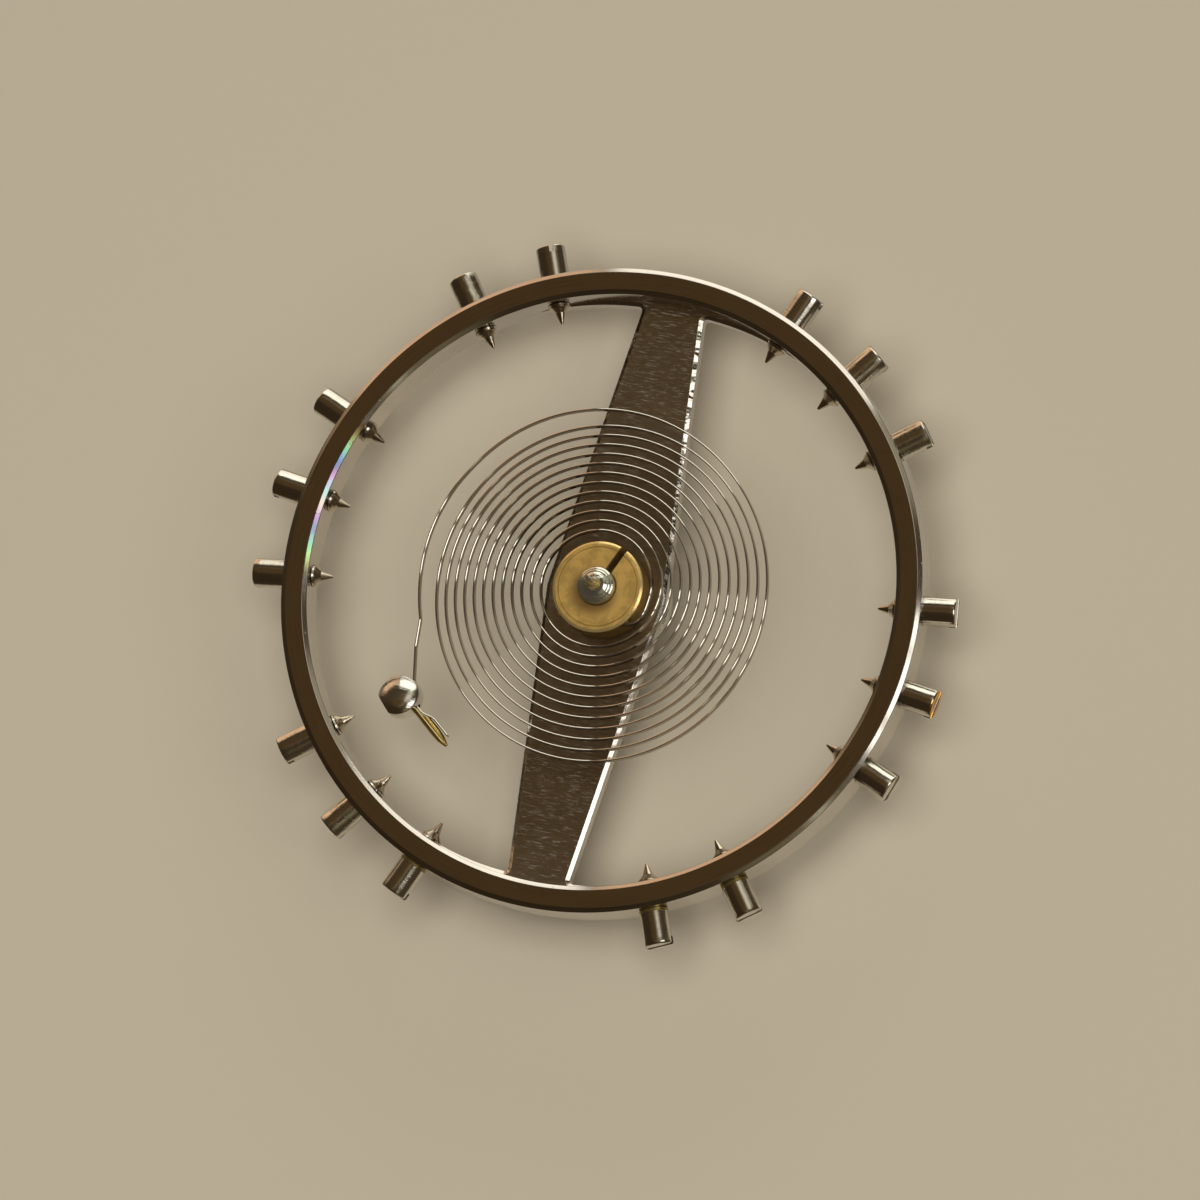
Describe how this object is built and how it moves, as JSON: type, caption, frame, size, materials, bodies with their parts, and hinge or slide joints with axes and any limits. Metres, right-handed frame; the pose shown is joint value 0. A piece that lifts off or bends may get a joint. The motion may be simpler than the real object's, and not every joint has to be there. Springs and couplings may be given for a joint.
{
  "type": "balance wheel",
  "caption": "Screwed balance wheel of a pocket watch on its staff, with collet, flat hairspring, stud and double roller; it swings about the staff.",
  "frame": {"origin": "tip of the lower pivot, on the axis of the staff", "axes": "+Z along the staff towards the hairspring and the upper pivot, Y along the wheel's arm, +X towards the impulse jewel"},
  "size_m": [0.0186, 0.0177, 0.0045],
  "materials": {
    "nickel_wheel": "bright turned nickel",
    "screw_nickel": "polished nickel",
    "polished_steel": "polished",
    "stud_steel": "polished",
    "spring_steel": "white polished strip",
    "brass_collet": "turned, satin",
    "brass_pin": "drawn, burnished",
    "brass_washer": "stamped",
    "ruby": "polished ruby"
  },
  "bodies": {
    "stud_side": {"hairspring_stud": "stud_steel", "stud_pin": "brass_pin"},
    "balance": {"balance_wheel": "nickel_wheel", "balance_staff": "polished_steel", "hairspring_collet": "brass_collet", "collet_pin": "brass_pin", "hairspring": "spring_steel", "impulse_roller": "polished_steel", "impulse_jewel": "ruby", "safety_roller": "polished_steel", "balance_screw_01": "screw_nickel", "balance_screw_02": "screw_nickel", "balance_screw_03": "screw_nickel", "balance_screw_04": "screw_nickel", "balance_screw_05": "screw_nickel", "balance_screw_06": "screw_nickel", "balance_screw_07": "screw_nickel", "balance_screw_08": "screw_nickel", "balance_screw_09": "screw_nickel", "balance_screw_10": "screw_nickel", "balance_screw_11": "screw_nickel", "balance_screw_12": "screw_nickel", "balance_screw_13": "screw_nickel", "balance_screw_14": "screw_nickel", "balance_screw_15": "screw_nickel", "balance_screw_16": "screw_nickel", "timing_washer_1": "brass_washer", "timing_washer_2": "brass_washer", "timing_washer_3": "brass_washer"}
  },
  "joints": [
    {"name": "balance_swing", "type": "hinge", "parent": "stud_side", "child": "balance", "pos_m": [0, 0, 0.00318], "axis": [0, 0, 1], "range_deg": [-270, 270], "stiffness_Nm_per_rad": 0.000005, "deforming": ["hairspring"]}
  ]
}
